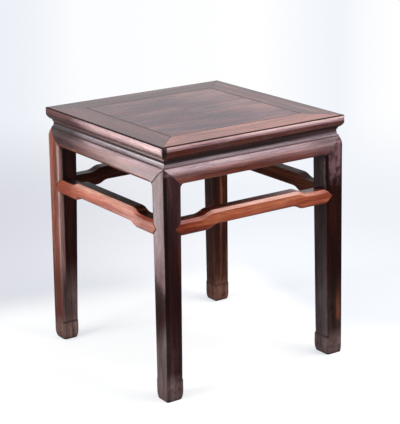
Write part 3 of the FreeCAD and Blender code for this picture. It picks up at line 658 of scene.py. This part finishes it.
# Painted shade at the right end of the front apron.
APRON_END_SHADE_TONES = ((46, 24, 26), (74, 48, 52), (104, 74, 78))
# Painted highlights on the aprons' bulge: palest on the crest, fainter below it.
BROW_TONES = ((156, 126, 132), (202, 174, 180), (226, 202, 208))
BELLY_TONES = ((106, 63, 59), (148, 98, 94), (180, 129, 123))
LOW_APRON_TONES = ((82, 32, 19), (126, 59, 42), (164, 99, 76))
# The stretchers.
STRETCHER_TONES = ((124, 42, 18), (164, 76, 46), (204, 120, 84))
STRETCHER_END_TONES = ((104, 36, 16), (146, 64, 38), (186, 100, 66))
# The left stretcher's tones are partly its wood and partly a painted sheen.
LEFT_STRETCHER_TONES = ((168, 80, 58), (214, 126, 99), (244, 168, 140))
SHADED_STRETCHER_TONES = ((84, 34, 17), (128, 66, 41), (166, 98, 66))
FAR_STRETCHER_TONES = ((44, 17, 10), (68, 33, 24), (98, 54, 42))
# Painted shade on the flat tops of the left and right stretchers.
SHADED_TOP_TONES = ((26, 10, 6), (46, 21, 15), (72, 38, 28))
# Painted highlights on the stretchers' upper bevels.
BEVEL_TONES = ((166, 110, 90), (218, 164, 146), (242, 200, 184))
# The legs.
LEG_TONES = ((22, 5, 5), (40, 11, 9), (68, 24, 17))
DARK_LEG_TONES = ((12, 3, 3), (26, 7, 5), (48, 15, 10))
STRIPED_TONES = ((28, 11, 8), (50, 24, 18), (112, 64, 44))
PALE_TONES = ((74, 34, 22), (110, 62, 46), (140, 88, 68))
# Painted reflection on the upper part of the near leg's front.
FRONT_SHEEN_TONES = ((40, 20, 20), (64, 40, 40), (90, 62, 62))
SHEEN_TONES = ((88, 56, 54), (122, 87, 87), (152, 117, 117))
LOW_TONES = ((80, 64, 62), (112, 94, 92), (140, 122, 120))
# Painted reflection on the right leg's shoulder.
SHOULDER_SHEEN_TONES = ((76, 47, 51), (108, 77, 82), (138, 109, 114))
RIGHT_INSIDE_TONES = ((56, 46, 48), (80, 70, 72), (98, 88, 90))
# Painted reflection on the right leg's inner side.
ROUNDING_GLINT_TONES = ((48, 40, 40), (82, 72, 74), (112, 102, 104))
WARM_TONES = ((104, 48, 34), (148, 84, 66), (186, 118, 98))
LOWER_TONES = ((70, 24, 14), (101, 41, 30), (132, 66, 51))
# Painted highlight on the left leg's corner.
CORNER_HIGHLIGHT_TONES = ((124, 84, 78), (172, 134, 129), (204, 168, 163))
INSIDE_TONES = ((68, 50, 50), (94, 74, 74), (114, 94, 93))
DUST_TONES = {
    "front_left": ((86, 67, 65), (120, 99, 96), (148, 127, 122)),
    "front_right": ((92, 72, 70), (127, 105, 102), (155, 133, 128)),
    "back_left": ((116, 88, 82), (150, 120, 112), (178, 148, 138)),
    "back_right": ((98, 62, 50), (134, 94, 80), (162, 122, 106)),
}

# ---------------------------------------------------------------- finishes
RAIL_FINISH = Finish(haze=0.25, varnish=0.06, index=1.36)
# The board's large mauve bloom is partly wax bloom and partly a painted reflection of the pale
# surroundings.
PANEL_FINISH = Finish(haze=0.45, haze_tone=(88, 76, 90), varnish=0.06, index=1.36, drawn=0.22)
BATTEN_FINISH = Finish(haze=0.1)
APRON_FINISH = Finish(rough=0.2)
LEG_FINISH = Finish(haze=0.02, haze_tone=(96, 60, 52), rough=0.19, varnish=0.04, index=1.32)
RED_LEG_FINISH = replace(LEG_FINISH, shine=(0.64, 0.26, 0.22))
PALE_LEG_FINISH = replace(LEG_FINISH, shine=(0.64, 0.50, 0.50))
BRIGHT_STRETCHER_FINISH = Finish(haze=0.03, varnish=0.06)
LEFT_STRETCHER_FINISH = Finish(haze=0.03, varnish=0.03, index=1.24)
DULL_STRETCHER_FINISH = Finish(haze=0.03, varnish=0.0, index=1.14)


# ---------------------------------------------------------------- pieces
def dress_rail(side, seed):
    crest, lines = bead_crest, (arris_line, top_joints, lip_shade)
    if side == "left":
        crest, lines = left_crest, (arris_line, top_joints)
    zones = (
        (bead, BEAD_TONES),
        (crest, CREST_TONES),
        (far_left, RED_TONES),
        (corner_strip, BLACK_TONES),
        (upper, TOP_TONES[side]),
    )
    material = wood(f"rail wood {side}", SIDES[side], 1.0 + seed, SIDE_TONES, zones, lines, RAIL_FINISH)
    dress(f"frame_rail_{side}", material)


def dress_panel():
    zones = ((panel_right, RIGHT_PANEL_TONES),)
    dress("panel_board", wood("panel wood", "X", 5.0, PANEL_TONES, zones, (top_joints,), PANEL_FINISH))
    for seed, side in enumerate(("left", "right")):
        material = wood(f"batten wood {side}", "Y", 6.0 + seed, WAIST_TONES, finish=BATTEN_FINISH)
        dress(f"panel_batten_{side}", material)


def dress_waist(side, seed):
    zones = ((hollow, HOLLOW_TONES), (near_hollow, NEAR_HOLLOW_TONES))
    if side == "left":
        zones = ((hollow, LEFT_HOLLOW_TONES), (far_left, FAR_HOLLOW_TONES))
    lines = (waist_band, groove)
    dress(f"waist_{side}", wood(f"waist wood {side}", SIDES[side], 10.0 + seed, WAIST_TONES, zones, lines))


def dress_apron(side, seed):
    tones, lines = APRON_TONES, (groove, closed_mitre)
    zones = (
        (apron_brow, BROW_TONES),
        (apron_belly, BELLY_TONES),
        (apron_foot, LOW_APRON_TONES),
        (apron_end, APRON_END_SHADE_TONES),
    )
    if side == "left":
        tones, lines = LEFT_APRON_TONES, (groove, closed_mitre, open_mitre)
        zones = ((left_brow, BROW_TONES), (far_left, FAR_APRON_TONES), (low_edge, ORANGE_TONES))
    material = wood(f"apron wood {side}", SIDES[side], 20.0 + seed, tones, zones, lines, APRON_FINISH)
    dress(f"apron_{side}", material)


STRETCHERS = {
    "front": (
        STRETCHER_TONES,
        # The front stretcher's flat top takes the darker tones of the top's sides, as painted shade.
        ((upper_bevel, BEVEL_TONES), (stretcher_ends, STRETCHER_END_TONES), (flat_top, SIDE_TONES)),
        (),
        BRIGHT_STRETCHER_FINISH,
    ),
    "right": (
        SHADED_STRETCHER_TONES,
        ((flat_top, SHADED_TOP_TONES),),
        (shaded_flat_top,),
        DULL_STRETCHER_FINISH,
    ),
    "back": (FAR_STRETCHER_TONES, (), (), DULL_STRETCHER_FINISH),
    "left": (
        LEFT_STRETCHER_TONES,
        ((upper_bevel, BEVEL_TONES), (stretcher_ends, STRETCHER_TONES), (flat_top, SHADED_TOP_TONES)),
        (shaded_flat_top,),
        LEFT_STRETCHER_FINISH,
    ),
}


def dress_stretcher(side, seed):
    material = wood(f"stretcher wood {side}", SIDES[side], 30.0 + seed, *STRETCHERS[side])
    dress(f"stretcher_{side}", material)


LEGS = {
    "front_left": (
        LEG_TONES,
        (
            (front_sheen, FRONT_SHEEN_TONES),
            (corner_strip, BLACK_TONES),
            (left_sheen, SHEEN_TONES),
            (left_low, LOW_TONES),
        ),
        (open_mitre,),
        LEG_FINISH,
    ),
    "front_right": (
        DARK_LEG_TONES,
        (
            (red_stripe, ORANGE_TONES),
            (shoulder_sheen, SHOULDER_SHEEN_TONES),
            (right_inside, RIGHT_INSIDE_TONES),
            (rounding_glint, ROUNDING_GLINT_TONES),
        ),
        (inner_gap,),
        RED_LEG_FINISH,
    ),
    "back_left": (
        LEG_TONES,
        (
            (facing_left, WARM_TONES),
            (left_lower, LOWER_TONES),
            (corner_highlight, CORNER_HIGHLIGHT_TONES),
            (low_inside, INSIDE_TONES),
        ),
        (),
        PALE_LEG_FINISH,
    ),
    "back_right": (STRIPED_TONES, ((pale_stripe, PALE_TONES),), (), RED_LEG_FINISH),
}


def dress_leg(corner, seed):
    tones, zones, lines, finish = LEGS[corner]
    zones = (*zones, (dust, DUST_TONES[corner]))
    lines = (closed_mitre, hoof_line, *lines)
    dress(f"leg_{corner}", wood(f"leg wood {corner}", "Z", 40.0 + seed, tones, zones, lines, finish))


def dress_table():
    for seed, side in enumerate(SIDES):
        dress_rail(side, seed)
        dress_waist(side, seed)
        dress_apron(side, seed)
        dress_stretcher(side, seed)
    dress_panel()
    for seed, corner in enumerate(LEGS):
        dress_leg(corner, seed)


# ---------------------------------------------------------------- surroundings
FLOOR_REACH = 24.0  # middle of the floor to its edges
FLOOR_CATCH = (0.60, 0.55, 0.49)  # the floor's own colour where it shows shadows
FLOOR_LIGHT = 0.92  # how brightly the lamps and the world light the open floor
FLOOR_BOUNCE = (0.25, 0.25, 0.26, 1)  # the floor's colour as the table is lit by it
AWAY_X, AWAY_Y = 0.57, 0.82  # the direction away from the camera, along the floor
CAMERA_RUN = 2.83  # the camera's distance from the middle of the table, along the floor
PATCH_WHITE = (1.05, 1.05, 1.05, 1)
PATCH_WIDTH = 1.2
# How far back the patch of light reaches, from its left end to its right.
PATCH_REACH = ((0.08, 0.29), (0.33, 0.40), (0.60, 0.56), (0.76, 0.16), (1.0, 0.10))
# The floor behind that patch, from left to right.
NEARER_TONES = (
    (0.0, (0.70, 0.71, 0.77, 1)),
    (0.55, (0.81, 0.82, 0.87, 1)),
    (1.0, (0.87, 0.90, 0.95, 1)),
)
FURTHER_TONES = (
    (0.0, (0.84, 0.87, 0.93, 1)),
    (0.12, (0.97, 0.98, 1.0, 1)),
    (0.72, (1.0, 1.0, 1.0, 1)),
    (0.93, (0.88, 0.91, 0.97, 1)),
    (1.0, (1.0, 1.0, 1.0, 1)),
)
WORLD_LIGHT = (0.98, 0.99, 1.0, 1)
WORLD_LEVEL = 0.55
WORLD_SEEN = (0.87, 0.89, 0.92, 1)  # the world's colour in the view and in reflections


def floor_tone(shader, place):
    """White in a patch of light round the table, and a pale blue grey behind it."""
    behind = shader.math("MULTIPLY_ADD", place.x, AWAY_X, shader.math("MULTIPLY", place.y, AWAY_Y))
    aside = shader.math("MULTIPLY_ADD", place.x, AWAY_Y, shader.math("MULTIPLY", place.y, -AWAY_X))
    nearer = shader.ramp(shader.spread(aside, -0.60, 0.20), NEARER_TONES)
    fan = shader.math("DIVIDE", aside, shader.math("ADD", behind, CAMERA_RUN))
    further = shader.ramp(shader.spread(fan, -0.150, 0.150), FURTHER_TONES)
    grey = shader.blend(shader.spread(behind, 1.0, 2.3), nearer, further)
    stops = [(at, (reach, reach, reach, 1)) for at, reach in PATCH_REACH]
    edge = shader.ramp(shader.math("MULTIPLY_ADD", aside, 1 / PATCH_WIDTH, 0.5), stops)
    past = shader.math("SUBTRACT", behind, edge)
    return shader.blend(shader.spread(past, -0.20, 0.02), PATCH_WHITE, grey)


def shadowed(shader, place, sheet):
    """The floor's tone, with the table's shadow on it near the table alone."""
    light = (*(share * FLOOR_LIGHT for share in FLOOR_CATCH), 1.0)
    glow = shader.add("Emission", {"Color": shader.blend(1.0, sheet, light, "SUBTRACT")}).outputs[0]
    catching = shader.add("BsdfDiffuse", {"Color": (*FLOOR_CATCH, 1.0)}).outputs[0]
    near = shader.add("AddShader", {0: catching, 1: glow}).outputs[0]
    plain = shader.add("Emission", {"Color": sheet}).outputs[0]
    away = shader.add("VectorMath", {0: place.point}, operation="LENGTH").outputs["Value"]
    beyond = shader.spread(away, 0.55, 1.10)
    return shader.add("MixShader", {0: beyond, 1: near, 2: plain}).outputs[0]


def floor_material():
    """The camera sees the pale sheet, and the table is lit by a darker one."""
    material = bpy.data.materials.new("pale floor")
    shader = Shader(material)
    place = Place(shader)
    seen = shadowed(shader, place, floor_tone(shader, place))
    lit = shader.add("BsdfDiffuse", {"Color": FLOOR_BOUNCE}).outputs[0]
    rays = shader.add("LightPath").outputs["Is Camera Ray"]
    mixed = shader.add("MixShader", {0: rays, 1: lit, 2: seen}).outputs[0]
    # From below, the sheet doesn't hide the table.
    beneath = shader.both(rays, shader.add("NewGeometry").outputs["Backfacing"])
    clear = shader.add("BsdfTransparent").outputs[0]
    whole = shader.add("MixShader", {0: beneath, 1: mixed, 2: clear}).outputs[0]
    shader.add("OutputMaterial", {0: whole})
    return material


def make_floor():
    far = FLOOR_REACH
    mesh = bpy.data.meshes.new("floor")
    corners = [(-far, -far, 0), (far, -far, 0), (far, far, 0), (-far, far, 0)]
    mesh.from_pydata(corners, [], [(0, 1, 2, 3)])
    floor = bpy.data.objects.new("floor", mesh)
    bpy.context.scene.collection.objects.link(floor)
    mesh.materials.append(floor_material())


def make_world():
    world = bpy.data.worlds.new("studio")
    bpy.context.scene.world = world
    shader = Shader(world)
    light = shader.add("Background", {"Color": WORLD_LIGHT, "Strength": WORLD_LEVEL}).outputs[0]
    backdrop = shader.add("Background", {"Color": WORLD_SEEN, "Strength": 1.0}).outputs[0]
    path = shader.add("LightPath").outputs
    seen = shader.most(path["Is Camera Ray"], path["Is Glossy Ray"], path["Is Transmission Ray"])
    mixed = shader.add("MixShader", {0: seen, 1: light, 2: backdrop}).outputs[0]
    shader.add("OutputWorld", {0: mixed})


def make_lamp(name, place, target, size, level, diffuse=True, glossy=True):
    """A soft rectangular lamp; its level is how bright its face is, where 1 is white."""
    width, height = size
    data = bpy.data.lights.new(name, "AREA")
    data.shape = "RECTANGLE"
    data.size = width
    data.size_y = height
    data.energy = level * math.pi * width * height
    lamp = bpy.data.objects.new(name, data)
    bpy.context.scene.collection.objects.link(lamp)
    away = (Vector(place) - Vector(target)).normalized()
    lamp.matrix_world = Matrix.Translation(place) @ away.to_track_quat("Z", "Y").to_matrix().to_4x4()
    lamp.visible_camera = False
    lamp.visible_diffuse = diffuse
    lamp.visible_glossy = glossy


def make_lamps():
    # The glows give reflections alone; the key and the fill give none.
    left, right, high = (0.0, 0.44, 0.305), (0.02, -0.22, 0.54), (0.0, -0.22, 0.47)
    make_lamp("left glow", (-0.65, 0.44, 0.305), left, (0.52, 0.58), 6.4, diffuse=False)
    make_lamp("right glow", (0.86, -1.34, 0.54), right, (1.20, 0.32), 7.0, diffuse=False)
    make_lamp("high glow", (0.80, -1.10, 1.28), high, (0.9, 0.6), 3.5, diffuse=False)
    middle = (0, 0, 0.40)
    make_lamp("overhead", (0.94, -0.55, 1.60), middle, (1.1, 0.8), 4.6)
    make_lamp("left key", (-2.60, 0.20, 1.90), middle, (1.6, 1.6), 6.0, glossy=False)
    make_lamp("front fill", (1.60, -2.90, 1.40), middle, (1.8, 1.2), 6.0, glossy=False)


make_camera()
make_floor()
make_world()
make_lamps()
dress_table()
bpy.context.scene.view_settings.view_transform = "Standard"
